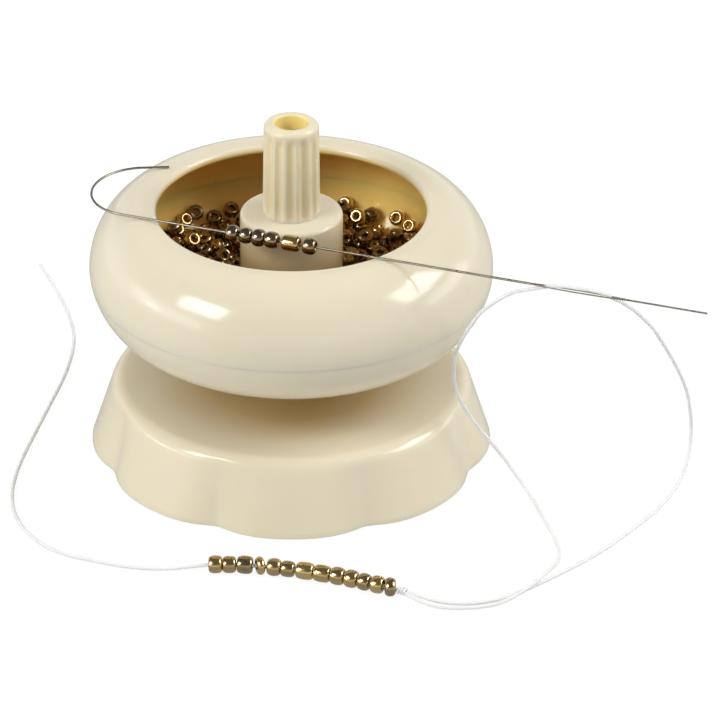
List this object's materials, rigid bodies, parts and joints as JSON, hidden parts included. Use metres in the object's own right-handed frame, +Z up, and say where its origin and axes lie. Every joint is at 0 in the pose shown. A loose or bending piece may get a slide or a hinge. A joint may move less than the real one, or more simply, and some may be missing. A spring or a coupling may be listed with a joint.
{
  "type": "bead spinner",
  "caption": "Round plastic bead bowl turned by a fluted knob on a scalloped base, with a hooked needle across its rim, loose seed beads and a beading thread",
  "frame": {"origin": "Middle of the underside, on the floor under the spin axis", "axes": "+Z up along the spin axis, +X to the right as seen from the front, where the thread leaves the needle, -Y to the front, the side the needle crosses"},
  "size_m": [0.1503, 0.1537, 0.0788],
  "materials": {
    "shell": "polished",
    "knob": "polished",
    "cover": "satin",
    "pad": "matte",
    "steel": "ground",
    "needle": "drawn",
    "bush": "machined",
    "washer": "satin",
    "bead": "metallic lustre",
    "thread": "translucent"
  },
  "bodies": {
    "base": {"base_shell": "shell", "base_cover": "cover", "cover_screws": "steel", "grip_pad": "pad", "spindle": "steel", "thrust_washer": "washer", "retaining_washer": "steel", "retaining_screw": "steel", "thread_loop": "thread", "thread_return": "thread", "strung_beads": "bead", "stopper_bead": "bead", "thread_knot": "thread"},
    "bowl": {"bowl_dish": "shell", "bowl_ring": "shell", "lower_bush": "bush", "upper_bush": "bush", "knob": "knob", "beads_lower": "bead", "beads_upper": "bead"},
    "needle": {"needle": "needle"},
    "needle_beads": {"needle_bead_1": "bead", "needle_bead_2": "bead", "needle_bead_3": "bead", "needle_bead_4": "bead", "needle_bead_5": "bead", "needle_bead_6": "bead"}
  },
  "joints": [
    {"name": "bowl_spin", "type": "hinge", "parent": "base", "child": "bowl", "pos_m": [0, 0, 0.0293], "axis": [0, 0, 1], "continuous": true},
    {"name": "needle_lift", "type": "slide", "parent": "base", "child": "needle", "axis": [0, 0, 1], "range_m": [0, 0.06]},
    {"name": "bead_slide", "type": "slide", "parent": "needle", "child": "needle_beads", "axis": [0.9403, -0.3404, 0], "range_m": [-0.012, 0.009]}
  ]
}
